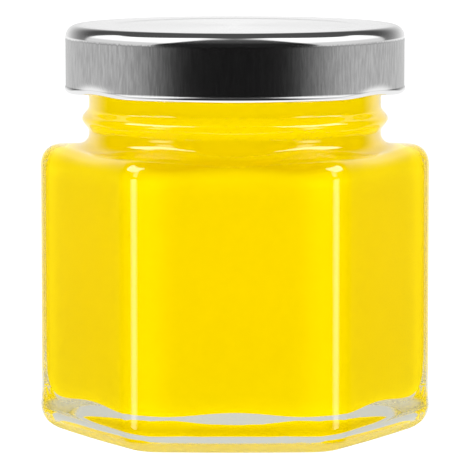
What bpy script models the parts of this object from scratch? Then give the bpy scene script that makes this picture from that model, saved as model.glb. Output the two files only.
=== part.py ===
"""Hexagonal glass jar with a pressed metal twist-off lid, filled to just under the rim.

Metres, +Z up. The origin is the middle of the base, on the surface that the jar stands on.
One face of the hexagon looks along -Y, and two of its corners point along +X and -X.
"""
import math

import bmesh
import bpy

MM = 0.001

# Glass body, outside
BODY_APOTHEM = 28.4 * MM  # from the axis to the middle of a face
BODY_CORNER = 32.0 * MM  # from the axis to a rounded corner
HEEL_BULGE = 0.15 * MM  # the heel stands proud of the faces by this much
HEEL_TOP = 4.1 * MM
PANEL_BOTTOM = 6.8 * MM
PANEL_TOP = 43.9 * MM
FOOT_APOTHEM = 25.0 * MM  # outer edge of the flat ring that the jar stands on
FOOT_CORNER = 27.5 * MM
FOOT_WIDTH = 1.5 * MM
PUSH_UP = 2.7 * MM  # the underside is domed up by this much
PUSH_UP_POWER = 5.4  # how flat the dome is in the middle, and how steep at its edge

# Shoulder, higher over the corners than over the faces
SHOULDER_FACE = (25.9 * MM, 46.5 * MM)  # radius and height where the rounded edge ends
SHOULDER_CORNER = (29.0 * MM, 47.2 * MM)
SHELF_CORNER = (25.85 * MM, 47.3 * MM)  # where the flat shelf over a corner meets the neck

# Neck and finish
NECK_RADIUS = 24.0 * MM
NECK_FOOT = 49.1 * MM  # the neck is straight above this height
BEAD_CENTRE = 51.6 * MM
BEAD_ABOVE = 1.95 * MM  # the bead runs out this far over and under its crest
BEAD_BELOW = 2.2 * MM
BEAD_REACH = 1.13 * MM
RIM_TOP = 66.2 * MM
BORE_RADIUS = 21.8 * MM

# Glass body, inside
CAVITY_APOTHEM = 26.0 * MM
CAVITY_CORNER = 27.9 * MM
CAVITY_HEEL = 9.4 * MM  # the inner walls are straight above this height
FLOOR_FACE = (23.8 * MM, 6.5 * MM)  # radius and height where the inner heel meets the floor
FLOOR_CORNER = (26.6 * MM, 5.7 * MM)
FLOOR_CROWN = 7.5 * MM
CAVITY_TOP = 41.8 * MM  # the inner walls are straight below this height
CEILING_FACE = (23.7 * MM, 44.7 * MM)
CEILING_CORNER = (25.7 * MM, 44.2 * MM)
BORE_FOOT = 47.0 * MM

# Contents
FILL_LEVEL = 61.0 * MM
FILL_GAP = 0.3 * MM

# Pressed lid
LID_RADIUS = 27.8 * MM
LID_TOP = 66.87 * MM
LID_EDGE = 1.9 * MM  # rounding between top and skirt
PANEL_RADIUS = 18.5 * MM
PANEL_DROP = 0.12 * MM
PANEL_STEP = 1.8 * MM
SHEET = 0.25 * MM
LID_LOW = 55.9 * MM
CURL_RADIUS = 0.6 * MM
CURL_CENTRE = (27.35 * MM, LID_LOW + CURL_RADIUS)
CURL_FROM = 41.4  # degrees round the curl, from straight out
CURL_TO = -250.0

# Lugs pressed out of the lid, and the threads on the glass that they turn under
LUG_ANGLES = (-146.0, -34.0, 90.0)  # degrees from +X, two at the front and one behind
LUG_REACH = 1.2 * MM
LUG_HALF = 9.0  # degrees
DENT_HALF = 20.0  # degrees, where the arch of the dent meets the lid's lower edge
DENT_TOP = 58.9 * MM
DENT_BEND = 0.11 / MM  # the dent deepens by this times the square of the way down
DENT_LIFT = 0.28 * MM  # the lower edge is drawn up by this over a lug
THREAD_RADIUS = 0.85 * MM
THREAD_OUT = 24.45 * MM  # radius of the thread's centre line
THREAD_LOW = 59.3 * MM
THREAD_RISE = 2.2 * MM
THREAD_SPAN = 72.0  # degrees
THREAD_LEAD = 14.0  # degrees of thread past the lug

# How finely the round shapes are cut
SIDE_ANGLES = (-25.4, -17.0, -8.5, 0.0, 8.5, 17.0, 25.4, 28.0, 30.0, 32.0)
HEEL_STEPS = 4
SHOULDER_STEPS = 4
FILLET_STEPS = 3
BEAD_STEPS = 4
RIM_STEPS = 6
CAVITY_STEPS = 3
LID_SECTORS = 60
EDGE_STEPS = 4
DENT_STEPS = 3
CURL_STEPS = 9
THREAD_POINTS = 10
SMOOTH_ANGLE = math.radians(40)
WELD = 0.00001


def clear_scene():
    for item in list(bpy.data.objects):
        bpy.data.objects.remove(item, do_unlink=True)


def make_collection(name):
    collection = bpy.data.collections.new(name)
    bpy.context.scene.collection.children.link(collection)
    return collection


def make_material(name, colour, roughness, metallic=0.0, transmission=0.0):
    material = bpy.data.materials.new(name)
    material.use_nodes = True
    shader = material.node_tree.nodes["Principled BSDF"]
    shader.inputs["Base Color"].default_value = (*colour, 1.0)
    shader.inputs["Roughness"].default_value = roughness
    shader.inputs["Metallic"].default_value = metallic
    shader.inputs["Transmission Weight"].default_value = transmission
    material.diffuse_color = (*colour, 1.0)
    return material


def add_object(name, data, collection, material=None):
    item = bpy.data.objects.new(name, data)
    collection.objects.link(item)
    if material is not None:
        data.materials.append(material)
    return item


def shade(mesh):
    mesh.shade_smooth()
    mesh.set_sharp_from_angle(angle=SMOOTH_ANGLE)


# Sections of the hexagon

def corner_radius(apothem, corner):
    """Rounding of a hexagon's corners, from its reach to a face and to a corner."""
    stretch = 1 / math.cos(math.radians(30))
    rounding = (apothem * stretch - corner) / (stretch - 1)
    return min(max(rounding, 0.0), apothem)


def section_radius(apothem, corner, from_face):
    """Radius of a rounded hexagon, at an angle in degrees from the middle of a face."""
    rounding = corner_radius(apothem, corner)
    flat_half = (apothem - rounding) * math.tan(math.radians(30))
    angle = math.radians(abs(from_face))
    if apothem * math.tan(angle) <= flat_half:
        return apothem / math.cos(angle)
    centre = (apothem - rounding) / math.cos(math.radians(30))
    off_corner = math.radians(30) - angle
    across = centre * math.sin(off_corner)
    return centre * math.cos(off_corner) + math.sqrt(rounding ** 2 - across ** 2)


def section_height(low, high, from_face):
    """Height between a face's and a corner's, at an angle from the middle of a face."""
    share = (1 - math.cos(math.radians(6 * from_face))) / 2
    return low + (high - low) * share


def make_ring(face, corner):
    """One closed ring of points: face and corner are its (radius, height) there."""
    points = []
    for side in range(6):
        middle = -90 + 60 * side
        for offset in SIDE_ANGLES:
            from_face = offset if offset <= 30 else offset - 60
            radius = section_radius(face[0], corner[0], from_face)
            height = section_height(face[1], corner[1], from_face)
            angle = math.radians(middle + offset)
            points.append((radius * math.cos(angle), radius * math.sin(angle), height))
    return points


def arc(centre, width, height, start, end, steps):
    """Points (radius, height) along an ellipse, angles in degrees from straight out."""
    points = []
    for step in range(steps + 1):
        angle = math.radians(start + (end - start) * step / steps)
        points.append((centre[0] + width * math.cos(angle), centre[1] + height * math.sin(angle)))
    return points


# Outline of the glass, over a face and over a corner

def foot_path(reach):
    """The underside, from near the axis out to the outer edge of the foot."""
    inner = reach - FOOT_WIDTH
    dome = []
    for share in (0.4, 0.7, 0.85, 0.95):
        dome.append((inner * share, PUSH_UP * (1 - share ** PUSH_UP_POWER)))
    return dome + [(inner, 0.0)]


def outside_path(foot, panel, shoulder, shelf):
    """From the underside up the outside to the middle of the bead's foot."""
    heel = panel + HEEL_BULGE
    path = foot_path(foot)
    path += arc((foot, HEEL_TOP), heel - foot, HEEL_TOP, -90, 0, HEEL_STEPS)
    path += [(panel, PANEL_BOTTOM)]
    edge_width = panel - shoulder[0]
    edge_height = shoulder[1] - PANEL_TOP
    path += arc((shoulder[0], PANEL_TOP), edge_width, edge_height, 0, 90, SHOULDER_STEPS)
    fillet_width = shelf[0] - NECK_RADIUS
    fillet_height = NECK_FOOT - shelf[1]
    path += arc((shelf[0], NECK_FOOT), fillet_width, fillet_height, -90, -180, FILLET_STEPS)
    return path


def bump(distance, half):
    """Smooth swelling from 1 in the middle to 0 at half the width."""
    if abs(distance) >= half:
        return 0.0
    return (1 + math.cos(math.pi * distance / half)) / 2


def finish_path():
    """The bead, the straight finish and the rounded rim, the same all the way round."""
    bead = []
    for step in range(-BEAD_STEPS, BEAD_STEPS + 1):
        share = step / BEAD_STEPS
        run_out = BEAD_ABOVE if share > 0 else BEAD_BELOW
        bead.append((NECK_RADIUS + BEAD_REACH * bump(share, 1), BEAD_CENTRE + share * run_out))
    rim_radius = (NECK_RADIUS - BORE_RADIUS) / 2
    rim_centre = (BORE_RADIUS + rim_radius, RIM_TOP - rim_radius)
    return bead + arc(rim_centre, rim_radius, rim_radius, 0, 180, RIM_STEPS)


def cavity_path(bore_foot, ceiling, wall, floor, gap):
    """From the bore down the inner wall to the floor, moved in from the glass by gap."""
    bore = BORE_RADIUS - gap
    throat = (ceiling[0], bore_foot)
    path = arc(throat, throat[0] - bore, bore_foot - ceiling[1] + gap, 180, 270, CAVITY_STEPS)
    edge = (ceiling[0] + (wall - ceiling[0]) * 0.1, CAVITY_TOP)
    edge_height = ceiling[1] - CAVITY_TOP - gap
    path += arc(edge, wall - gap - edge[0], edge_height, 90, 0, CAVITY_STEPS)
    heel_height = CAVITY_HEEL - floor[1] - gap
    path += arc((floor[0], CAVITY_HEEL), wall - gap - floor[0], heel_height, 0, -90, CAVITY_STEPS)
    path += [(floor[0] * 0.5, floor[1] + gap + (FLOOR_CROWN - floor[1]) * 0.75)]
    return path


def cavity_rings(gap):
    face = cavity_path(BORE_FOOT, CEILING_FACE, CAVITY_APOTHEM, FLOOR_FACE, gap)
    corner = cavity_path(BORE_FOOT, CEILING_CORNER, CAVITY_CORNER, FLOOR_CORNER, gap)
    return [make_ring(*pair) for pair in zip(face, corner)]


def outside_rings():
    face = outside_path(FOOT_APOTHEM, BODY_APOTHEM, SHOULDER_FACE, SHOULDER_FACE)
    corner = outside_path(FOOT_CORNER, BODY_CORNER, SHOULDER_CORNER, SHELF_CORNER)
    rings = [make_ring(*pair) for pair in zip(face, corner)]
    return rings + [make_ring(point, point) for point in finish_path()]


def loft(name, rings, first_pole, last_pole):
    """A closed skin through the rings, with a point on the axis at each end."""
    shape = bmesh.new()
    loops = [[shape.verts.new(point) for point in ring] for ring in rings]
    count = len(loops[0])
    for lower, upper in zip(loops, loops[1:]):
        for index in range(count):
            after = (index + 1) % count
            shape.faces.new((lower[index], lower[after], upper[after], upper[index]))
    first = shape.verts.new((0, 0, first_pole))
    last = shape.verts.new((0, 0, last_pole))
    for index in range(count):
        after = (index + 1) % count
        shape.faces.new((first, loops[0][after], loops[0][index]))
        shape.faces.new((last, loops[-1][index], loops[-1][after]))
    bmesh.ops.remove_doubles(shape, verts=shape.verts, dist=WELD)
    bmesh.ops.recalc_face_normals(shape, faces=shape.faces)
    mesh = bpy.data.meshes.new(name)
    shape.to_mesh(mesh)
    shape.free()
    return mesh


# Pieces

def mesh_from(item):
    """The evaluated mesh of an object, whose own object is then removed."""
    graph = bpy.context.evaluated_depsgraph_get()
    mesh = bpy.data.meshes.new_from_object(item.evaluated_get(graph))
    shape = bmesh.new()
    shape.from_mesh(mesh)
    bmesh.ops.remove_doubles(shape, verts=shape.verts, dist=WELD)
    shape.to_mesh(mesh)
    shape.free()
    bpy.data.objects.remove(item, do_unlink=True)
    return mesh


def make_thread(index, lug_angle, cutters):
    """One interrupted thread: a rounded ridge that climbs round the finish."""
    curve = bpy.data.curves.new(f"thread_path_{index}", "CURVE")
    curve.dimensions = "3D"
    curve.bevel_depth = THREAD_RADIUS
    curve.bevel_resolution = 1
    curve.use_fill_caps = True
    spline = curve.splines.new("POLY")
    spline.points.add(THREAD_POINTS - 1)
    for step, point in enumerate(spline.points):
        share = step / (THREAD_POINTS - 1)
        angle = math.radians(lug_angle - THREAD_LEAD + THREAD_SPAN * share)
        height = THREAD_LOW + THREAD_RISE * share
        out = THREAD_OUT
        point.co = (out * math.cos(angle), out * math.sin(angle), height, 1)
    path = add_object(f"thread_path_{index}", curve, cutters)
    thread = add_object(f"thread_{index}", mesh_from(path), cutters)
    thread.hide_render = True
    thread.display_type = "WIRE"


def make_jar(parts, threads):
    glass = make_material("clear_glass", (0.93, 0.96, 0.94), 0.03, transmission=1.0)
    rings = outside_rings() + cavity_rings(0.0)
    mesh = loft("jar", rings, PUSH_UP, FLOOR_CROWN)
    shade(mesh)
    jar = add_object("jar", mesh, parts, glass)
    for index, lug_angle in enumerate(LUG_ANGLES):
        make_thread(index, lug_angle, threads)
    union = jar.modifiers.new("threads", "BOOLEAN")
    union.operation = "UNION"
    union.operand_type = "COLLECTION"
    union.collection = threads
    union.solver = "EXACT"


def make_filling(parts):
    yellow = make_material("yellow_contents", (0.93, 0.62, 0.01), 0.35)
    rings = cavity_rings(FILL_GAP)
    top = (BORE_RADIUS - FILL_GAP, FILL_LEVEL)
    rings.insert(0, make_ring(top, top))
    mesh = loft("filling", rings, FILL_LEVEL, FLOOR_CROWN + FILL_GAP)
    shade(mesh)
    add_object("filling", mesh, parts, yellow)


def lid_path():
    """Outer line of the lid, from the middle of its top down to the end of the curl."""
    panel = LID_TOP - PANEL_DROP
    path = [(0.0, panel), (PANEL_RADIUS * 0.5, panel), (PANEL_RADIUS, panel)]
    path += [(PANEL_RADIUS + PANEL_STEP, LID_TOP)]
    edge = (LID_RADIUS - LID_EDGE, LID_TOP - LID_EDGE)
    path += arc(edge, LID_EDGE, LID_EDGE, 90, 0, EDGE_STEPS)
    curl = arc(CURL_CENTRE, CURL_RADIUS, CURL_RADIUS, CURL_FROM, CURL_TO, CURL_STEPS)
    for step in range(DENT_STEPS):
        height = DENT_TOP + (curl[0][1] - DENT_TOP) * step / DENT_STEPS
        path.append((LID_RADIUS, height))
    return path + curl


def angle_between(first, second):
    return (first - second + 180) % 360 - 180


def press_lugs(mesh):
    """Press an arched dent in the skirt over each lug, and the curl in and up under it."""
    for vertex in mesh.vertices:
        radius = math.hypot(vertex.co.x, vertex.co.y)
        if vertex.co.z > DENT_TOP or radius < PANEL_RADIUS:
            continue
        angle = math.degrees(math.atan2(vertex.co.y, vertex.co.x))
        curl_share = min(max((LID_RADIUS - radius) / CURL_RADIUS, 0.0), 1.0)
        low = max(vertex.co.z, CURL_CENTRE[1])
        way_down = (DENT_TOP - low) / (DENT_TOP - CURL_CENTRE[1])
        push = 0.0
        lift = 0.0
        for lug_angle in LUG_ANGLES:
            off = angle_between(angle, lug_angle)
            height = (DENT_TOP - LID_LOW) * (1 - (off / DENT_HALF) ** 2)
            dent = DENT_BEND * max(LID_LOW + height - low, 0.0) ** 2
            push += dent + LUG_REACH * bump(off, LUG_HALF) * curl_share
            lift += DENT_LIFT * bump(off, DENT_HALF) * way_down
        vertex.co.x *= (radius - push) / radius
        vertex.co.y *= (radius - push) / radius
        vertex.co.z += lift


def make_lid(parts):
    steel = make_material("brushed_steel", (0.62, 0.62, 0.62), 0.3, metallic=1.0)
    path = lid_path()
    shape = bmesh.new()
    points = [shape.verts.new((radius, 0, height)) for radius, height in path]
    for upper, lower in zip(points, points[1:]):
        shape.edges.new((upper, lower))
    profile = bpy.data.meshes.new("lid_profile")
    shape.to_mesh(profile)
    shape.free()
    turned = add_object("lid_profile", profile, parts)
    screw = turned.modifiers.new("turn", "SCREW")
    screw.steps = LID_SECTORS
    screw.render_steps = LID_SECTORS
    screw.use_merge_vertices = True
    screw.merge_threshold = WELD
    mesh = mesh_from(turned)
    mesh.name = "lid"
    press_lugs(mesh)
    shade(mesh)
    lid = add_object("lid", mesh, parts, steel)
    wall = lid.modifiers.new("sheet", "SOLIDIFY")
    wall.thickness = SHEET
    wall.offset = -1


def main():
    clear_scene()
    parts = make_collection("hexagonal_glass_jar")
    threads = make_collection("threads")
    make_jar(parts, threads)
    make_filling(parts)
    make_lid(parts)


main()
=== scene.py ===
"""Looks for a hexagonal glass jar of smooth yellow food with a pressed metal lid.

The glass, its contents and the lid are each grown ring by ring in edit mode from a primitive,
the way their walls run round the axis. Metres, +Z up, one face of the hexagon along -Y.
"""

import math

import bmesh
import bpy
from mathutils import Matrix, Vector


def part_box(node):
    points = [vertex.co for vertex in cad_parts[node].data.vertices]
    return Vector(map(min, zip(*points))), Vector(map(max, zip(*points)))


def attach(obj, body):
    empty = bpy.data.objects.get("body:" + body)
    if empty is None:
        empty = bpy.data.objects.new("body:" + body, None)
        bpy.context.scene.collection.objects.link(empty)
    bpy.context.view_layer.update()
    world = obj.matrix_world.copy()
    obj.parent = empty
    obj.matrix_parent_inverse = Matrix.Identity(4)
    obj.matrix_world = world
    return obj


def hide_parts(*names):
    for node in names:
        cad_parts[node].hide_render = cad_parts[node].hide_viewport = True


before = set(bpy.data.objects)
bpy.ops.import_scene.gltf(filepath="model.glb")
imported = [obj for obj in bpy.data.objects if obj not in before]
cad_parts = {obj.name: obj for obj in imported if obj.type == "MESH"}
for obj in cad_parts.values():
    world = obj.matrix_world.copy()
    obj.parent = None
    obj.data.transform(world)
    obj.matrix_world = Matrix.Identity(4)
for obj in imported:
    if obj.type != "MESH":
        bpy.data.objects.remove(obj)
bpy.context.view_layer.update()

MM = 0.001
CORNERS = 6
HALF_FACE = math.pi / CORNERS

# Glass, outside. A pair gives the measure over a face and over a corner.
# Rings say where a surface is cut: at these heights, or at these shares of its reach.
JAR_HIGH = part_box("jar")[1]
HEEL_BULGE = 0.15 * MM
BODY = (JAR_HIGH.y - HEEL_BULGE, JAR_HIGH.x - HEEL_BULGE)
HEEL_TOP = 4.1 * MM
PANEL_BOTTOM = 6.8 * MM
PANEL_TOP = 43.9 * MM
FOOT = (25.0 * MM, 27.5 * MM)
FOOT_WIDTH = 1.5 * MM
FOOT_ROUNDING = 0.4 * MM
PUSH_UP = 2.7 * MM
PUSH_UP_POWER = 5.4
PUSH_UP_RINGS = (0.98, 0.95, 0.91, 0.86, 0.8, 0.72, 0.62, 0.5, 0.35, 0.2, 0.06)
EDGE_REACH = (25.9 * MM, 29.0 * MM)
EDGE_HEIGHT = (46.5 * MM, 47.2 * MM)
SHELF_REACH = (25.9 * MM, 25.85 * MM)
SHELF_HEIGHT = (46.5 * MM, 47.3 * MM)
SHELF_RINGS = (0.25, 0.5, 0.75, 1.0)
NECK_RADIUS = 24.0 * MM
NECK_FOOT = 49.1 * MM
BEAD_CENTRE = 51.6 * MM
BEAD_ABOVE = 1.95 * MM
BEAD_BELOW = 2.2 * MM
BEAD_REACH = 1.13 * MM
FINISH_RINGS = (55.5 * MM, 60.0 * MM)
RIM_TOP = JAR_HIGH.z
BORE_RADIUS = 21.8 * MM
RIM_ROUNDING = (NECK_RADIUS - BORE_RADIUS) / 2
RIM_CENTRE = (BORE_RADIUS + RIM_ROUNDING, RIM_TOP - RIM_ROUNDING)

# Where the rounding on the inner side of the foot's ring ends, in degrees from straight out
FOOT_END = -160

# The rim's outer and inner halves end this many degrees short of its top, and are bridged there
RIM_SEAM = 10

# Glass, inside
CAVITY = (26.0 * MM, 27.9 * MM)
CAVITY_HEEL = 9.4 * MM
FLOOR_REACH = (23.8 * MM, 26.6 * MM)
FLOOR_HEIGHT = (6.5 * MM, 5.7 * MM)
FLOOR_CROWN = 7.5 * MM
FLOOR_RINGS = (0.85, 0.65, 0.45, 0.25, 0.08)
CAVITY_TOP = 41.8 * MM
CEILING_REACH = (23.7 * MM, 25.7 * MM)
CEILING_HEIGHT = (44.7 * MM, 44.2 * MM)
CEILING_FLAT = 0.1
BORE_FOOT = 47.0 * MM
BORE_RINGS = (52.0 * MM, 57.0 * MM)

# Contents
FILL_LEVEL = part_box("filling")[1].z
FILL_RINGS = (0.98, 0.5, 0.1)
INTO_WALL = 0.12 * MM

# Lid. Angles are in degrees.
LID_LOW, LID_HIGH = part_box("lid")
LID_TOP = LID_HIGH.z
LID_RADIUS = 27.8 * MM
LID_EDGE = 1.9 * MM
CURL_RADIUS = 0.6 * MM
CURL_CENTRE = (27.35 * MM, LID_LOW.z + CURL_RADIUS)
CURL_FROM = 41.4
CURL_TO = -250.0
SUNK_RADIUS = 18.5 * MM
SUNK_DEPTH = 0.12 * MM
SUNK_STEP = 1.8 * MM
PANEL_CENTRE = 0.3
PANEL_RINGS = (0.6, 0.9)
SKIRT_BEAD = 64.5 * MM
SKIRT_BEAD_HALF = 0.3 * MM
SKIRT_BEAD_REACH = 0.02 * MM
SHEET = 0.25 * MM
LUG_ANGLES = (-146.0, -34.0, 90.0)
LUG_REACH = 1.2 * MM
LUG_HALF = 9.0
DENT_HALF = 20.0
DENT_TOP = 58.9 * MM
DENT_BEND = 0.11 / MM
DENT_LIFT = 0.28 * MM

# The lowest part of the heel is stippled, fading out between these heights
STIPPLE_HEIGHT = (1.2 * MM, 2.4 * MM)
STIPPLE_ROUGHNESS = 0.8
STIPPLE_SCALE = 700
STIPPLE_RELIEF = 0.07 * MM

# The mould leaves the glass a little wavy, with longer waves up and down than round
GLASS_IOR = 1.52
WAVE_RELIEF = 0.01 * MM
WAVE_SCALE = 170
WAVE_DETAIL = 1.5
WAVE_STRETCH = (1, 1, 0.6)

# The food's colour is very slightly cloudy
CLOUD_SCALE = 70
CLOUD_DETAIL = 3
FOOD_ROUGHNESS = 0.5

# Where the brush streaks of the skirt end, and how ragged their upper edge is. Over the same zone the
# sheet's colour is darkened as painted shade.
# In a dent streaks and painted shade fade out, so the dent is painted lighter: they are gone where
# the sheet is pressed in by the first depth, and whole at the second.
BRUSH_TOP = 64.95 * MM
BRUSH_FOOT = 56.95 * MM
BRUSH_FADE = 0.3 * MM
BRUSH_RAGGED = 0.6 * MM
BRUSH_PRESSED = (0.4 * MM, 0.0)
BRUSH_ANISOTROPY = 0.9
POLISHED_ROUGHNESS = 0.08
BRUSHED_ROUGHNESS = 0.17
STREAK_SCALE = 2600
STREAK_DETAIL = 3
STREAK_ROUGHNESS = 0.6
STREAK_STRETCH = (1, 1, 0.12)
STREAK_CONTRAST = (0.25, 0.75)
STREAK_RELIEF = 0.002 * MM

# The lacquer on the flat of the lid scatters some light, up to where the edge starts to turn down
LACQUER_END = (24.6 * MM, 25.8 * MM)
LACQUER_SCATTER = 0.27

# How finely the outlines are cut
CORNER_SEGMENTS = 12
FACE_CUTS = 19
HEEL_STEPS = 14
FOOT_STEPS = 5
EDGE_STEPS = 14
NECK_STEPS = 12
BEAD_STEPS = 12
RIM_STEPS = 6
FLOOR_STEPS = 12
CEILING_STEPS = 10
BORE_STEPS = 8
LID_POINTS = 240
SUNK_STEPS = 8
LID_EDGE_STEPS = 16
SKIRT_STEPS = 48
CURL_STEPS = 24
TABLE_POINTS = 96
DOME_SEGMENTS = 48

# Faces that meet at less than this angle, in degrees, are shaded as one curve
SMOOTH_ANGLE = 50

# How near, in metres, two heights count as level, two reaches as a circle and two points as one
LEVEL = 1e-6
CIRCLE = 1e-7
ONE_POINT = 1e-7

# A pull towards a circle is made from this share on
LEAST_PULL = 1e-5

# An edge that is longer than this share of a flat side lies along it
ALONG_SIDE = 0.9

# Camera, fitted to the photo
CAMERA_AIM = Vector((0.0, 0.0, 32.14 * MM))
CAMERA_DISTANCE = 643.2 * MM
CAMERA_PITCH = math.radians(6.26)
CAMERA_LENS = 298.9
CAMERA_SENSOR = 36.0
CAMERA_NEAREST = 10 * MM

# Colours
GLASS_TINT = (0.91, 0.93, 0.84)
YELLOW_DEEP = (0.96, 0.72, 0.0)
YELLOW_LIGHT = (0.98, 0.74, 0.0)
LID_BRIGHT = (0.88, 0.88, 0.88)
# The skirt's greys are painted shade: darker than the rest of the sheet, streaked by its brush marks
BRUSHED_SHADE_DARK = (0.35, 0.35, 0.35)
BRUSHED_SHADE_LIGHT = (0.50, 0.50, 0.50)
WHITE = (1.0, 1.0, 1.0)
BLACK = (0.0, 0.0, 0.0)

# Light. Directions are in degrees: round from the camera's side, and up from level.
# The tent and the floor light the food. Through the glass and by the camera they are seen at
# strengths of their own.
TENT_HEIGHT = (12, 60)
TENT = (2.35, 1.15)
FLOOR_LIGHT = 1.5
FLOOR_RADIUS = 90 * MM
FLOOR_GAP = 0.02 * MM
SEEN_THROUGH = 0.74
SHOWN_WHITE = 1.2
LIGHT_BOUNCES = 24
LID_DOME_RADIUS = 2.0
GLASS_DOME_RADIUS = 2.1
SOFT_EDGE = 2.5
STRAIGHT_DOWN = -90

# What the lid mirrors. The hem is the low part of the soft box, dimmer up to the second height.
CEILING_HEIGHTS = (10, 45)
CEILING_GLOW = (0.017, 0.08)
BOX_NEAR_TURN = (20, 62)
BOX_LOW = (56, 1)
BOX_FAR_TURN = (45, 112)
BOX_TOP = (72, 46)
BOX_END = 121
BOX_FADE = (0, 48)
BOX_POWER = (0.1, 1.2)
BOX_HEM = (12, 26)
BOX_HEM_SHARE = (0.6, 1.0)
TABLE_TURN = (32, 90)
TABLE_POWER = 0.95
TABLE_EDGE = 2
NEAR_TABLE = (-50, -14)
NEAR_TABLE_POWER = (1.15, 0.65)
BACK_START = (108, 124)
BACK_TURN = (122, 168)
BACK_SHARE = (0.2, 1.0)
BACK_HEIGHT = (2, 36)
BACK_POWER = 0.88

# What the glass mirrors
KEY_NEAR = 35
KEY_FAR = 100
KEY_LOW = (44, 26)
KEY_TURN = (33, 70)
KEY_TOP = 50
KEY_POWER = 7.0
TONGUE_TURN = (50, 64)
TONGUE_LOW = 8
TONGUE_POWER = 3.0
RIM_TURN = (117, 145)
RIM_POWER = 1.0
STRIP_AROUND = 57.0
STRIP_AWAY = 200 * MM
STRIP_LOW = -22 * MM
STRIP_HIGH = 40 * MM
STRIP_HALF = 45 * MM
STRIP_POWER = 3.6
STRIP_FADE = (0.1, 0.5)


# Modelling helpers

def deselect_objects():
    for item in bpy.context.selected_objects:
        item.select_set(False)


def make_active(piece):
    deselect_objects()
    piece.select_set(True)
    bpy.context.view_layer.objects.active = piece


def take(name):
    """The primitive just added, named, with its place and size in its mesh."""
    piece = bpy.context.object
    piece.name = name
    piece.data.name = name
    bpy.ops.object.transform_apply(location=True, rotation=True, scale=True)
    return piece


def edit(piece):
    make_active(piece)
    bpy.ops.object.mode_set(mode="EDIT")
    bpy.ops.mesh.select_mode(type="EDGE")


def leave_edit():
    bpy.ops.object.mode_set(mode="OBJECT")


def pick_edges(piece, wanted):
    """Selects exactly the edges that the test accepts."""
    bpy.ops.mesh.select_all(action="DESELECT")
    shape = bmesh.from_edit_mesh(piece.data)
    for edge in [item for item in shape.edges if wanted(item)]:
        edge.select_set(True)
    bmesh.update_edit_mesh(piece.data)


def pick_ring(piece, height):
    """Selects the open edge of the wall at this height."""
    def on_ring(edge):
        level = all(abs(vertex.co.z - height) < LEVEL for vertex in edge.verts)
        return edge.is_boundary and level
    pick_edges(piece, on_ring)


def arc(centre, width, height, start, end, steps):
    """Points (reach, height) along an ellipse, angles in degrees from straight out."""
    points = []
    for step in range(steps + 1):
        angle = math.radians(start + (end - start) * step / steps)
        points.append((centre[0] + width * math.cos(angle), centre[1] + height * math.sin(angle)))
    return points


def swelling(distance, half):
    """1 in the middle, falling smoothly to 0 at half the width."""
    if abs(distance) >= half:
        return 0.0
    return (1 + math.cos(math.pi * distance / half)) / 2


def corner_rounding(reach):
    """Radius of a hexagon's rounded corners, from its reach to a face and to a corner."""
    stretch = 1 / math.cos(HALF_FACE)
    return (reach[0] * stretch - reach[1]) / (stretch - 1)


def hexagon_tube(name, reach, low, high):
    """An open hexagonal tube with rounded upright edges, its flat sides cut into strips."""
    deselect_objects()
    bpy.ops.mesh.primitive_cylinder_add(
        vertices=CORNERS, radius=reach[0] / math.cos(HALF_FACE), depth=high - low,
        end_fill_type="NGON", location=(0, 0, (low + high) / 2), rotation=(0, 0, HALF_FACE))
    piece = take(name)
    edit(piece)

    def rise(edge):
        return abs(edge.verts[0].co.z - edge.verts[1].co.z)

    pick_edges(piece, lambda edge: rise(edge) > (high - low) / 2)
    fillet = corner_rounding(reach)
    bpy.ops.mesh.bevel(offset=fillet * math.tan(HALF_FACE), offset_type="OFFSET",
                       segments=CORNER_SEGMENTS, profile=0.5, affect="EDGES")
    flat = 2 * (reach[0] - fillet) * math.tan(HALF_FACE)
    pick_edges(piece, lambda edge: rise(edge) < (high - low) / 2
               and edge.calc_length() > flat * ALONG_SIDE)
    bpy.ops.mesh.subdivide(number_cuts=FACE_CUTS)
    bpy.ops.mesh.select_mode(type="FACE")
    bpy.ops.mesh.select_all(action="DESELECT")
    shape = bmesh.from_edit_mesh(piece.data)
    # Only the two ends have more than four corners.
    for face in shape.faces:
        face.select_set(len(face.verts) > 4)
    bmesh.update_edit_mesh(piece.data)
    bpy.ops.mesh.delete(type="FACE")
    bpy.ops.mesh.select_mode(type="EDGE")
    return piece


def ring_reach(piece):
    """Least, greatest and mean reach of the selected ring."""
    shape = bmesh.from_edit_mesh(piece.data)
    reach = [vertex.co.xy.length for vertex in shape.verts if vertex.select]
    return min(reach), max(reach), sum(reach) / len(reach)


def set_heights(piece, over_face, over_corner):
    """Gives the selected ring its height over the faces and its height over the corners."""
    shape = bmesh.from_edit_mesh(piece.data)
    for vertex in [item for item in shape.verts if item.select]:
        around = math.atan2(vertex.co.y, vertex.co.x)
        share = (1 + math.cos(CORNERS * around)) / 2
        vertex.co.z = over_face + (over_corner - over_face) * share
    bmesh.update_edit_mesh(piece.data)


def grow(piece, over_face, over_corner=None):
    """Extrudes the selected ring through stations (reach, height) over a face and a corner.

    A section between the hexagon and a circle is the hexagon drawn part of the way to a sphere.
    """
    for face, corner in zip(over_face, over_corner or over_face):
        bpy.ops.mesh.extrude_region_move()
        low, high, mean = ring_reach(piece)
        ratio = corner[0] / face[0]
        if high - low > CIRCLE:
            pull = (high - ratio * low) / (high - ratio * low + mean * (ratio - 1))
            if pull > LEAST_PULL:
                bpy.ops.transform.tosphere(value=min(pull, 1.0))
            low = ring_reach(piece)[0]
        scale = face[0] / low
        bpy.ops.transform.resize(value=(scale, scale, 1), center_override=(0, 0, 0))
        set_heights(piece, face[1], corner[1])


def close_pole(piece, height):
    """Draws the selected ring in to a point on the axis."""
    bpy.ops.mesh.extrude_region_move()
    bpy.ops.mesh.merge(type="CENTER")
    shape = bmesh.from_edit_mesh(piece.data)
    for vertex in [item for item in shape.verts if item.select]:
        vertex.co = (0, 0, height)
    bmesh.update_edit_mesh(piece.data)


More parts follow.
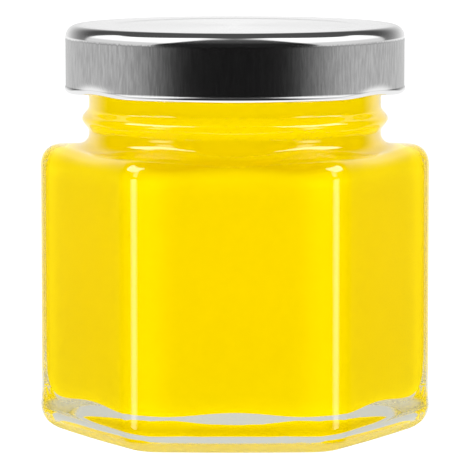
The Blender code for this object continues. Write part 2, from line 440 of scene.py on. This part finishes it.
def face_out():
    """Merges the doubles of the piece in edit mode, and turns its faces outwards."""
    bpy.ops.mesh.select_all(action="SELECT")
    bpy.ops.mesh.remove_doubles(threshold=ONE_POINT)
    bpy.ops.mesh.normals_make_consistent(inside=False)


def smooth(piece):
    make_active(piece)
    bpy.ops.object.shade_smooth_by_angle(angle=math.radians(SMOOTH_ANGLE))


# Glass

def heel_and_foot(side):
    """Outline down the heel and in under the foot, side 0 over a face and 1 over a corner."""
    foot = FOOT[side]
    bulge = BODY[side] + HEEL_BULGE
    path = arc((foot, HEEL_TOP), bulge - foot, HEEL_TOP, 0, -90, HEEL_STEPS)
    inner = foot - FOOT_WIDTH
    path += arc((inner, FOOT_ROUNDING), FOOT_ROUNDING, FOOT_ROUNDING, -90, FOOT_END, FOOT_STEPS)
    edge, rise = path[-1]
    for share in PUSH_UP_RINGS:
        path.append((edge * share, rise + (PUSH_UP - rise) * (1 - share ** PUSH_UP_POWER)))
    return path


def shoulder(side):
    """Outline over the rounded upper edge, along the shelf and into the neck."""
    reach = EDGE_REACH[side]
    top = EDGE_HEIGHT[side]
    path = arc((reach, PANEL_TOP), BODY[side] - reach, top - PANEL_TOP, 0, 90, EDGE_STEPS)[1:]
    shelf = SHELF_REACH[side]
    for share in SHELF_RINGS:
        height = top + (SHELF_HEIGHT[side] - top) * share
        path.append((reach + (shelf - reach) * share, height))
    fillet = (shelf - NECK_RADIUS, NECK_FOOT - SHELF_HEIGHT[side])
    path += arc((shelf, NECK_FOOT), *fillet, -90, -180, NECK_STEPS)[1:]
    return path


def finish_outline():
    """Bead, straight finish and the outer half of the rounded rim, the same all round."""
    path = []
    for step in range(-BEAD_STEPS, BEAD_STEPS + 1):
        share = step / BEAD_STEPS
        height = BEAD_CENTRE + share * (BEAD_ABOVE if share > 0 else BEAD_BELOW)
        path.append((NECK_RADIUS + BEAD_REACH * swelling(share, 1), height))
    path += [(NECK_RADIUS, height) for height in FINISH_RINGS]
    return path + arc(RIM_CENTRE, RIM_ROUNDING, RIM_ROUNDING, 0, 90 - RIM_SEAM, RIM_STEPS)


def floor_outline(side):
    """Outline of the hollow, round its lower corner and in over the floor."""
    floor = FLOOR_REACH[side]
    low = FLOOR_HEIGHT[side]
    path = arc((floor, CAVITY_HEEL), CAVITY[side] - floor, CAVITY_HEEL - low, 0, -90, FLOOR_STEPS)[1:]
    for share in FLOOR_RINGS:
        path.append((floor * share, low + (FLOOR_CROWN - low) * (1 - share ** 2)))
    return path


def ceiling_outline(side, top):
    """Outline of the hollow, in under the shoulder and up the bore to the top."""
    reach = CEILING_REACH[side]
    low = CEILING_HEIGHT[side]
    edge = reach + (CAVITY[side] - reach) * CEILING_FLAT
    path = arc((edge, CAVITY_TOP), CAVITY[side] - edge, low - CAVITY_TOP, 0, 90, CEILING_STEPS)[1:]
    path += arc((reach, BORE_FOOT), reach - BORE_RADIUS, BORE_FOOT - low, -90, -180, BORE_STEPS)
    return path + [(BORE_RADIUS, height) for height in (*BORE_RINGS, top)]


def make_hollow(name, top):
    """Skin of the jar's hollow, open at the top, where its mouth ends."""
    piece = hexagon_tube(name, CAVITY, CAVITY_HEEL, CAVITY_TOP)
    pick_ring(piece, CAVITY_HEEL)
    grow(piece, floor_outline(0), floor_outline(1))
    close_pole(piece, FLOOR_CROWN)
    pick_ring(piece, CAVITY_TOP)
    grow(piece, ceiling_outline(0, top), ceiling_outline(1, top))
    return piece


def make_glass():
    glass = hexagon_tube("jar_glass", BODY, PANEL_BOTTOM, PANEL_TOP)
    pick_ring(glass, PANEL_BOTTOM)
    grow(glass, heel_and_foot(0), heel_and_foot(1))
    close_pole(glass, PUSH_UP)
    pick_ring(glass, PANEL_TOP)
    grow(glass, shoulder(0) + finish_outline(), shoulder(1) + finish_outline())
    leave_edit()
    hollow = make_hollow("jar_hollow", RIM_CENTRE[1])
    grow(hollow, arc(RIM_CENTRE, RIM_ROUNDING, RIM_ROUNDING, 180, 90 + RIM_SEAM, RIM_STEPS)[1:])
    leave_edit()
    make_active(glass)
    hollow.select_set(True)
    bpy.ops.object.join()
    edit(glass)
    pick_edges(glass, lambda edge: edge.is_boundary)
    bpy.ops.mesh.bridge_edge_loops()
    face_out()
    leave_edit()
    smooth(glass)
    return glass


# Contents

def make_contents():
    contents = make_hollow("yellow_food", FILL_LEVEL)
    grow(contents, [(BORE_RADIUS * share, FILL_LEVEL) for share in FILL_RINGS])
    close_pole(contents, FILL_LEVEL)
    face_out()
    bpy.ops.transform.shrink_fatten(value=INTO_WALL)
    leave_edit()
    smooth(contents)
    return contents


# Lid

def lid_outline():
    """Outer line of the sheet, from the sunk panel over the edge and down round the curl."""
    panel = LID_TOP - SUNK_DEPTH
    path = [(SUNK_RADIUS * share, panel) for share in PANEL_RINGS]
    for step in range(SUNK_STEPS + 1):
        rise = (1 - math.cos(math.pi * step / SUNK_STEPS)) / 2
        path.append((SUNK_RADIUS + SUNK_STEP * step / SUNK_STEPS, panel + SUNK_DEPTH * rise))
    edge = (LID_RADIUS - LID_EDGE, LID_TOP - LID_EDGE)
    path.append(((edge[0] + SUNK_RADIUS + SUNK_STEP) / 2, LID_TOP))
    path += arc(edge, LID_EDGE, LID_EDGE, 90, 0, LID_EDGE_STEPS)
    low = CURL_CENTRE[1] + CURL_RADIUS * math.sin(math.radians(CURL_FROM))
    for step in range(1, SKIRT_STEPS):
        height = edge[1] + (low - edge[1]) * step / SKIRT_STEPS
        swell = SKIRT_BEAD_REACH * math.exp(-((height - SKIRT_BEAD) / SKIRT_BEAD_HALF) ** 2)
        path.append((LID_RADIUS + swell, height))
    return path + arc(CURL_CENTRE, CURL_RADIUS, CURL_RADIUS, CURL_FROM, CURL_TO, CURL_STEPS)


def press_lugs(lid):
    """Presses an arched hollow in the skirt over each lug, and the curl in and up under it."""
    for vertex in lid.data.vertices:
        reach = vertex.co.xy.length
        if vertex.co.z > DENT_TOP or reach < SUNK_RADIUS:
            continue
        around = math.degrees(math.atan2(vertex.co.y, vertex.co.x))
        curl_share = min(max((LID_RADIUS - reach) / CURL_RADIUS, 0.0), 1.0)
        low = max(vertex.co.z, CURL_CENTRE[1])
        way_down = (DENT_TOP - low) / (DENT_TOP - CURL_CENTRE[1])
        push = 0.0
        lift = 0.0
        for lug_angle in LUG_ANGLES:
            off = (around - lug_angle + 180) % 360 - 180
            arch = (DENT_TOP - LID_LOW.z) * (1 - (off / DENT_HALF) ** 2)
            dent = DENT_BEND * max(LID_LOW.z + arch - low, 0.0) ** 2
            push += dent + LUG_REACH * swelling(off, LUG_HALF) * curl_share
            lift += DENT_LIFT * swelling(off, DENT_HALF) * way_down
        vertex.co.x *= (reach - push) / reach
        vertex.co.y *= (reach - push) / reach
        vertex.co.z += lift


def make_lid():
    outline = lid_outline()
    deselect_objects()
    bpy.ops.mesh.primitive_circle_add(vertices=LID_POINTS, radius=SUNK_RADIUS * PANEL_CENTRE,
                                      fill_type="TRIFAN", location=(0, 0, outline[0][1]))
    lid = take("pressed_lid")
    edit(lid)
    pick_ring(lid, outline[0][1])
    grow(lid, outline)
    bpy.ops.mesh.select_all(action="SELECT")
    bpy.ops.mesh.normals_make_consistent(inside=False)
    leave_edit()
    press_lugs(lid)
    sheet = lid.modifiers.new("sheet", "SOLIDIFY")
    sheet.thickness = SHEET
    sheet.offset = -1
    make_active(lid)
    bpy.ops.object.modifier_apply(modifier=sheet.name)
    smooth(lid)
    return lid


# Materials

class Nodes:
    """Short ways to add and link the nodes of one material or world."""

    def __init__(self, tree):
        self.tree = tree

    def add(self, kind, **settings):
        node = self.tree.nodes.new(kind)
        for name, value in settings.items():
            setattr(node, name, value)
        return node

    def join(self, source, target):
        self.tree.links.new(source, target)

    def math(self, operation, first, second=None, third=None):
        node = self.add("ShaderNodeMath", operation=operation)
        for socket, value in zip(node.inputs, (first, second, third)):
            if value is None:
                continue
            if isinstance(value, (int, float)):
                socket.default_value = value
            else:
                self.join(value, socket)
        return node.outputs[0]

    def vector(self, operation, first, second=(0, 0, 0)):
        """The outputs of a vector operation, of which Value is the one for a length."""
        node = self.add("ShaderNodeVectorMath", operation=operation)
        self.join(first, node.inputs[0])
        node.inputs[1].default_value = second
        return node.outputs

    def parts(self, vector):
        """The X, Y and Z of a vector."""
        node = self.add("ShaderNodeSeparateXYZ")
        self.join(vector, node.inputs["Vector"])
        return node.outputs

    def ramp(self, value, low, high, to_low=0.0, to_high=1.0):
        node = self.add("ShaderNodeMapRange", interpolation_type="SMOOTHSTEP")
        self.join(value, node.inputs["Value"])
        node.inputs["From Min"].default_value = low
        node.inputs["From Max"].default_value = high
        node.inputs["To Min"].default_value = to_low
        node.inputs["To Max"].default_value = to_high
        return node.outputs["Result"]

    def place(self):
        """Where a point lies on its piece."""
        return self.add("ShaderNodeTexCoord").outputs["Object"]

    def stretched(self, scale):
        mapping = self.add("ShaderNodeMapping")
        mapping.inputs["Scale"].default_value = scale
        self.join(self.place(), mapping.inputs["Vector"])
        return mapping.outputs["Vector"]

    def noise(self, vector, scale, detail, roughness=0.5):
        node = self.add("ShaderNodeTexNoise")
        self.join(vector, node.inputs["Vector"])
        node.inputs["Scale"].default_value = scale
        node.inputs["Detail"].default_value = detail
        node.inputs["Roughness"].default_value = roughness
        return node.outputs["Fac"]

    def bump(self, height, distance=1.0):
        """Relief as deep as the height times the distance, in metres."""
        node = self.add("ShaderNodeBump")
        self.join(height, node.inputs["Height"])
        node.inputs["Distance"].default_value = distance
        node.inputs["Strength"].default_value = 1.0
        return node.outputs["Normal"]

    def blend(self, share, first, second):
        """A mix of two colours, each one plain or a socket. The node's colours are 6 and 7."""
        node = self.add("ShaderNodeMix", data_type="RGBA")
        self.join(share, node.inputs["Factor"])
        for socket, colour in zip((node.inputs[6], node.inputs[7]), (first, second)):
            if isinstance(colour, tuple):
                socket.default_value = (*colour, 1.0)
            else:
                self.join(colour, socket)
        return node.outputs[2]


def new_material(name):
    material = bpy.data.materials.new(name)
    material.use_nodes = True
    shader = material.node_tree.nodes["Principled BSDF"]
    return material, Nodes(material.node_tree), shader.inputs


def glass_material():
    """Clear pressed glass, slightly wavy from the mould and stippled where it stands."""
    material, nodes, shader = new_material("clear_jar_glass")
    shader["Base Color"].default_value = (*GLASS_TINT, 1.0)
    shader["Transmission Weight"].default_value = 1.0
    shader["IOR"].default_value = GLASS_IOR
    stippled = nodes.ramp(nodes.parts(nodes.place())["Z"], *STIPPLE_HEIGHT, 1, 0)
    nodes.join(nodes.math("MULTIPLY", stippled, STIPPLE_ROUGHNESS), shader["Roughness"])
    dots = nodes.noise(nodes.place(), STIPPLE_SCALE, 0)
    waves = nodes.noise(nodes.stretched(WAVE_STRETCH), WAVE_SCALE, WAVE_DETAIL)
    relief = nodes.math("MULTIPLY_ADD", nodes.math("MULTIPLY", dots, stippled), STIPPLE_RELIEF,
                        nodes.math("MULTIPLY", waves, WAVE_RELIEF))
    nodes.join(nodes.bump(relief), shader["Normal"])
    return material


def food_material():
    """Smooth, saturated yellow food. It wets the glass, so it has no gloss of its own."""
    material, nodes, shader = new_material("smooth_yellow_food")
    cloud = nodes.noise(nodes.place(), CLOUD_SCALE, CLOUD_DETAIL)
    nodes.join(nodes.blend(cloud, YELLOW_DEEP, YELLOW_LIGHT), shader["Base Color"])
    shader["Roughness"].default_value = FOOD_ROUGHNESS
    shader["Specular IOR Level"].default_value = 0.0
    return material


def lid_material():
    """Silver sheet, bright on the panel, the edge and the curl; the skirt has upright brush streaks
    and a colour darkened as painted shade.
    """
    material, nodes, shader = new_material("lid_sheet")
    height = nodes.parts(nodes.place())["Z"]
    level_place = nodes.vector("MULTIPLY", nodes.place(), (1, 1, 0))["Vector"]
    reach = nodes.vector("LENGTH", level_place)["Value"]
    streaks = nodes.noise(nodes.stretched(STREAK_STRETCH), STREAK_SCALE,
                          STREAK_DETAIL, STREAK_ROUGHNESS)
    edge = nodes.math("MULTIPLY_ADD", streaks, BRUSH_RAGGED, BRUSH_TOP - BRUSH_RAGGED / 2)
    below = nodes.math("SUBTRACT", edge, height)
    brushed_and_shaded = nodes.math("MULTIPLY", nodes.ramp(below, 0, BRUSH_FADE),
                         nodes.ramp(height, BRUSH_FOOT - BRUSH_FADE, BRUSH_FOOT))
    pressed_limits = [LID_RADIUS - depth for depth in BRUSH_PRESSED]
    brushed_and_shaded = nodes.math("MULTIPLY", brushed_and_shaded, nodes.ramp(reach, *pressed_limits))
    on_top = nodes.ramp(height, LID_TOP - LID_EDGE, LID_TOP - LID_EDGE / 2)
    bare = nodes.ramp(reach, *LACQUER_END, 1 - LACQUER_SCATTER, 1)
    nodes.join(nodes.math("MAXIMUM", bare, nodes.math("SUBTRACT", 1, on_top)), shader["Metallic"])
    # Painted shade: the skirt is coloured darker than the rest of the sheet, with the streaks of its
    # brush marks
    brushing_and_shade = nodes.blend(nodes.ramp(streaks, *STREAK_CONTRAST), BRUSHED_SHADE_DARK, BRUSHED_SHADE_LIGHT)
    nodes.join(nodes.blend(brushed_and_shaded, LID_BRIGHT, brushing_and_shade), shader["Base Color"])
    nodes.join(nodes.ramp(brushed_and_shaded, 0, 1, POLISHED_ROUGHNESS, BRUSHED_ROUGHNESS), shader["Roughness"])
    relief = nodes.math("MULTIPLY", streaks, brushed_and_shaded)
    nodes.join(nodes.bump(relief, STREAK_RELIEF), shader["Normal"])
    shader["Anisotropic"].default_value = BRUSH_ANISOTROPY
    tangent = nodes.add("ShaderNodeTangent", direction_type="RADIAL", axis="Z")
    nodes.join(tangent.outputs["Tangent"], shader["Tangent"])
    return material


def ray_kinds(nodes):
    """The kinds of ray, 1 for one that lights the food, and the strength that the camera sees."""
    ray = nodes.add("ShaderNodeLightPath").outputs
    lit = nodes.math("MINIMUM", ray["Diffuse Depth"], 1)
    shown = nodes.math("MULTIPLY", ray["Is Camera Ray"], SHOWN_WHITE)
    return ray, lit, shown


def floor_material():
    """A pale table that glows of itself, so that it shows no shadow."""
    material, nodes, shader = new_material("pale_floor")
    shader["Base Color"].default_value = (*BLACK, 1.0)
    shader["Roughness"].default_value = 1.0
    shader["Specular IOR Level"].default_value = 0.0
    shader["Emission Color"].default_value = (*WHITE, 1.0)
    lit, shown = ray_kinds(nodes)[1:]
    glow = nodes.math("MULTIPLY_ADD", lit, FLOOR_LIGHT - SEEN_THROUGH, SEEN_THROUGH)
    nodes.join(nodes.math("MAXIMUM", glow, shown), shader["Emission Strength"])
    return material


def set_material(piece, material):
    piece.data.materials.clear()
    piece.data.materials.append(material)


# Studio

def make_floor():
    deselect_objects()
    bpy.ops.mesh.primitive_circle_add(vertices=TABLE_POINTS, radius=FLOOR_RADIUS, fill_type="NGON",
                                      location=(0, 0, -FLOOR_GAP))
    floor = take("pale_floor")
    set_material(floor, floor_material())
    # Gloss looks past the floor's round edge, which would draw a hard line low on the side faces.
    floor.visible_glossy = False
    return floor


def elevation(nodes, direction):
    """Degrees up from level."""
    return nodes.math("DEGREES", nodes.math("ARCSINE", direction["Z"]))


def make_world():
    """A white tent for the food, brightest near level. Gloss sees the domes in its place."""
    world = bpy.data.worlds.new("studio")
    bpy.context.scene.world = world
    world.use_nodes = True
    world.cycles.sampling_method = "NONE"
    nodes = Nodes(world.node_tree)
    background = world.node_tree.nodes["Background"]
    background.inputs["Color"].default_value = (*WHITE, 1.0)
    direction = nodes.parts(nodes.add("ShaderNodeTexCoord").outputs["Generated"])
    tent = nodes.ramp(nodes.math("ABSOLUTE", elevation(nodes, direction)), *TENT_HEIGHT, *TENT)
    ray, lit, shown = ray_kinds(nodes)
    direct = nodes.math("MULTIPLY", ray["Is Transmission Ray"], nodes.math("SUBTRACT", 1, lit))
    light = nodes.math("ADD", nodes.math("MULTIPLY", lit, tent),
                       nodes.math("MULTIPLY", direct, SEEN_THROUGH))
    nodes.join(nodes.math("MAXIMUM", light, shown), background.inputs["Strength"])


def both(nodes, first, second):
    return nodes.math("MULTIPLY", first, second)


def brightest(nodes, *lights):
    total = lights[0]
    for light in lights[1:]:
        total = nodes.math("MAXIMUM", total, light)
    return total


def inside(nodes, value, low, high):
    """1 between two limits, each a number or a socket, with soft edges."""
    past_low = nodes.ramp(nodes.math("SUBTRACT", value, low), -SOFT_EDGE, SOFT_EDGE)
    short_of_high = nodes.ramp(nodes.math("SUBTRACT", high, value), -SOFT_EDGE, SOFT_EDGE)
    return both(nodes, past_low, short_of_high)


def lid_room(nodes, around, height):
    """What the lid mirrors: a big soft box on each side, the pale table, and the room behind."""
    low = nodes.ramp(around, *BOX_NEAR_TURN, *BOX_LOW)
    top = nodes.ramp(around, *BOX_FAR_TURN, *BOX_TOP)
    box = both(nodes, inside(nodes, height, low, top), inside(nodes, around, 0, BOX_END))
    box = both(nodes, box, nodes.ramp(around, *BOX_FADE, *BOX_POWER))
    box = both(nodes, box, nodes.ramp(height, *BOX_HEM, *BOX_HEM_SHARE))
    table = both(nodes, nodes.ramp(around, *TABLE_TURN, 0, TABLE_POWER),
                 inside(nodes, height, STRAIGHT_DOWN, TABLE_EDGE))
    near = nodes.ramp(height, *NEAR_TABLE, *NEAR_TABLE_POWER)
    near = both(nodes, near, nodes.ramp(height, NEAR_TABLE[1] - 2 * SOFT_EDGE, NEAR_TABLE[1], 1, 0))
    back = both(nodes, nodes.ramp(around, *BACK_TURN, *BACK_SHARE),
                nodes.ramp(height, *BACK_HEIGHT, BACK_POWER, 0))
    back = both(nodes, back, nodes.ramp(around, *BACK_START))
    ceiling = nodes.ramp(height, *CEILING_HEIGHTS, *CEILING_GLOW)
    return nodes.math("ADD", brightest(nodes, box, table, near, back), ceiling)


def glass_room(nodes, around, height):
    """What the glass mirrors: on each side a bright box over a narrow tongue, and a pale outline."""
    low = nodes.ramp(around, *KEY_TURN, *KEY_LOW)
    key = both(nodes, inside(nodes, height, low, KEY_TOP), inside(nodes, around, KEY_NEAR, KEY_FAR))
    key = nodes.math("MULTIPLY", key, KEY_POWER)
    tongue = both(nodes, inside(nodes, height, TONGUE_LOW, KEY_TOP),
                  inside(nodes, around, *TONGUE_TURN))
    tongue = nodes.math("MULTIPLY", tongue, TONGUE_POWER)
    return brightest(nodes, key, tongue, nodes.ramp(around, *RIM_TURN, 0, RIM_POWER))


def in_direction(room):
    """The strength of a dome's light, which the room gives for each direction."""
    def strength(nodes):
        direction = nodes.parts(nodes.vector("NORMALIZE", nodes.place())["Vector"])
        aside = nodes.math("ABSOLUTE", direction["X"])
        front = nodes.math("MULTIPLY", direction["Y"], -1)
        around = nodes.math("DEGREES", nodes.math("ARCTAN2", aside, front))
        return room(nodes, around, elevation(nodes, direction))
    return strength


def across_strip(nodes):
    """The strength of a strip's light, which fades out from the middle to its upright edges."""
    across = nodes.parts(nodes.add("ShaderNodeUVMap").outputs["UV"])["X"]
    off_middle = nodes.math("ABSOLUTE", nodes.math("SUBTRACT", across, 0.5))
    return nodes.ramp(off_middle, *STRIP_FADE, STRIP_POWER, 0.0)


def light_material(name, strength):
    """A surface that only adds light, through which other rays pass."""
    material, nodes = new_material(name)[:2]
    nodes.tree.nodes.remove(nodes.tree.nodes["Principled BSDF"])
    glow = nodes.add("ShaderNodeEmission")
    nodes.join(strength(nodes), glow.inputs["Strength"])
    layers = nodes.add("ShaderNodeAddShader")
    nodes.join(glow.outputs["Emission"], layers.inputs[0])
    nodes.join(nodes.add("ShaderNodeBsdfTransparent").outputs["BSDF"], layers.inputs[1])
    nodes.join(layers.outputs["Shader"], nodes.tree.nodes["Material Output"].inputs["Surface"])
    return material


def light_only(light, piece):
    """Only gloss on this piece sees the light."""
    light.visible_camera = False
    light.visible_diffuse = False
    light.visible_transmission = False
    light.visible_volume_scatter = False
    light.visible_shadow = False
    receivers = bpy.data.collections.new("lit_by_" + light.name)
    receivers.objects.link(piece)
    light.light_linking.receiver_collection = receivers


def make_dome(name, radius, room, piece):
    deselect_objects()
    bpy.ops.mesh.primitive_uv_sphere_add(segments=DOME_SEGMENTS, ring_count=DOME_SEGMENTS // 2,
                                         radius=radius)
    dome = take(name)
    material = light_material(name, in_direction(room))
    material.cycles.emission_sampling = "NONE"
    set_material(dome, material)
    light_only(dome, piece)
    return dome


def make_strips(piece):
    """Two low panels that draw the bright lines down the upright edges of the glass."""
    strips = []
    material = light_material("strip_light", across_strip)
    for side, side_name in ((-1, "left"), (1, "right")):
        turn = math.radians(STRIP_AROUND) * side
        place = Vector((math.sin(turn), -math.cos(turn), 0)) * STRIP_AWAY
        place.z = (STRIP_LOW + STRIP_HIGH) / 2
        deselect_objects()
        bpy.ops.mesh.primitive_plane_add(size=1, location=place, rotation=(math.pi / 2, 0, turn))
        bpy.context.object.scale = (2 * STRIP_HALF, STRIP_HIGH - STRIP_LOW, 1)
        strip = take("strip_light_" + side_name)
        set_material(strip, material)
        light_only(strip, piece)
        strips.append(strip)
    return strips


def make_camera():
    camera = bpy.data.objects.new("camera", bpy.data.cameras.new("camera"))
    bpy.context.scene.collection.objects.link(camera)
    camera.data.lens = CAMERA_LENS
    camera.data.sensor_width = CAMERA_SENSOR
    camera.data.clip_start = CAMERA_NEAREST
    back = Vector((0, -math.cos(CAMERA_PITCH), math.sin(CAMERA_PITCH)))
    camera.location = CAMERA_AIM + back * CAMERA_DISTANCE
    camera.rotation_euler = (-back).to_track_quat("-Z", "Y").to_euler()
    bpy.context.scene.camera = camera


glass = make_glass()
contents = make_contents()
lid = make_lid()
set_material(glass, glass_material())
set_material(contents, food_material())
set_material(lid, lid_material())
# The food lets light through to its neck, so the lid doesn't shade what lies behind the glass.
lid.visible_transmission = False

for piece, node, slot in ((glass, "jar", "clear_glass"), (contents, "filling", "yellow_contents"),
                          (lid, "lid", "lid_metal")):
    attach(piece, "root")
    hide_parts(node)

make_floor()
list(make_strips(glass))
make_dome("lid_dome", LID_DOME_RADIUS, lid_room, lid)
make_dome("glass_dome", GLASS_DOME_RADIUS, glass_room, glass)
make_world()
make_camera()
bpy.context.scene.view_settings.view_transform = "Standard"
# Light that stops too soon inside the thick wall would leave a dark line down its outer edge.
bpy.context.scene.cycles.max_bounces = LIGHT_BOUNCES
bpy.context.scene.cycles.transmission_bounces = LIGHT_BOUNCES
bpy.context.scene.cycles.glossy_bounces = LIGHT_BOUNCES
